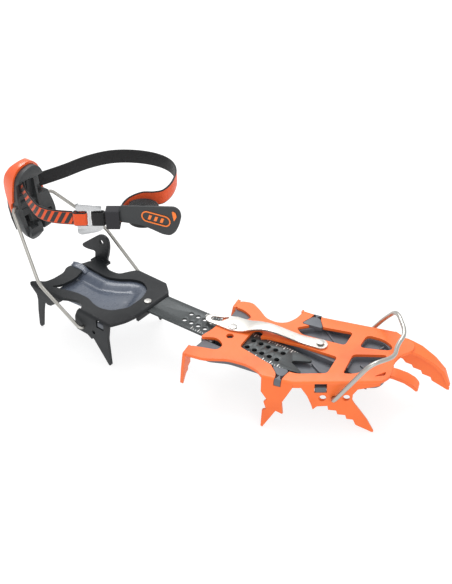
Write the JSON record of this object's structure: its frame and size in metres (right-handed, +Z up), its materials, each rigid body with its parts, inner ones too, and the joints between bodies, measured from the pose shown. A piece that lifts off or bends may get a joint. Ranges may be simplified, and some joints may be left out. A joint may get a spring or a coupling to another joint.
{
  "type": "crampon",
  "caption": "Boot crampon with a toothed front plate, a sliding link bar to the heel plate, wire bails, a heel lever and an ankle strap with buckle.",
  "frame": {"origin": "middle of the bounding box, on the ground that the tips of the points stand on", "axes": "+X to the toe, +Y to the inner side of the foot, +Z up"},
  "size_m": [0.3644, 0.1508, 0.1457],
  "materials": {
    "orange_painted_steel": "satin powder coat, brighter on the upper faces",
    "black_painted_steel": "satin powder coat, worn at the edges",
    "dark_bar_steel": "dark satin steel with fine scratches",
    "bail_wire": "drawn stainless wire",
    "satin_steel": "satin stainless strip",
    "slate_plastic": "matt moulded plastic",
    "dish_plastic": "smooth, fairly glossy moulded plastic",
    "lever_plastic": "satin moulded plastic",
    "cover_plastic": "glossy moulded plastic",
    "handle_plastic": "smooth moulded plastic",
    "black_webbing": "woven webbing",
    "orange_webbing": "woven webbing",
    "keeper_rubber": "matt rubber",
    "tab_rubber": "rubber with fine diagonal ribs",
    "badge_rubber": "raised glossy rubber",
    "buckle_chrome": "polished plating"
  },
  "bodies": {
    "front_section": {"front_frame": "orange_painted_steel", "front_snow_plate": "slate_plastic", "bar_guide": "dark_bar_steel", "guide_rivets": "satin_steel", "lever_rivet": "satin_steel", "plate_clips": "slate_plastic"},
    "lock_lever": {"lock_lever": "satin_steel", "lock_pin": "satin_steel"},
    "toe_bail": {"toe_bail": "bail_wire"},
    "heel_section": {"link_bar": "dark_bar_steel", "heel_frame": "black_painted_steel", "heel_snow_plate": "dish_plastic", "bar_rivet": "satin_steel", "heel_clip": "dish_plastic"},
    "heel_bail": {"heel_bail": "bail_wire"},
    "heel_lever": {"lever_body": "lever_plastic", "lever_cover": "cover_plastic", "lever_handle": "handle_plastic", "strap_far": "black_webbing", "strap_near": "orange_webbing", "strap_roll": "black_webbing", "strap_keeper": "keeper_rubber", "strap_tab": "tab_rubber", "tab_badge": "badge_rubber", "buckle_frame": "buckle_chrome", "buckle_loop_rear": "orange_webbing", "buckle_loop_front": "black_webbing"}
  },
  "joints": [
    {"name": "bar_slide", "type": "slide", "parent": "front_section", "child": "heel_section", "axis": [0.9984, 0.0558, 0], "range_m": [-0.037, 0.01]},
    {"name": "lock_lever_lift", "type": "hinge", "parent": "front_section", "child": "lock_lever", "pos_m": [0.09762, 0.01596, 0.0453], "axis": [-0.2385, 0.9711, 0], "range_deg": [0, 6], "stiffness_Nm_per_rad": 0.4, "springref_deg": -1.72},
    {"name": "toe_bail_hinge", "type": "hinge", "parent": "front_section", "child": "toe_bail", "pos_m": [0.11794, 0.01714, 0.0315], "axis": [-0.2385, 0.9711, 0], "range_deg": [-45, 15]},
    {"name": "heel_bail_hinge", "type": "hinge", "parent": "heel_section", "child": "heel_bail", "pos_m": [-0.08836, -0.02136, 0.0286], "axis": [0, 1, 0], "range_deg": [-30, 30]},
    {"name": "heel_lever_hinge", "type": "hinge", "parent": "heel_bail", "child": "heel_lever", "pos_m": [-0.17086, -0.02136, 0.1085], "axis": [0, 1, 0], "range_deg": [-75, 8]}
  ]
}
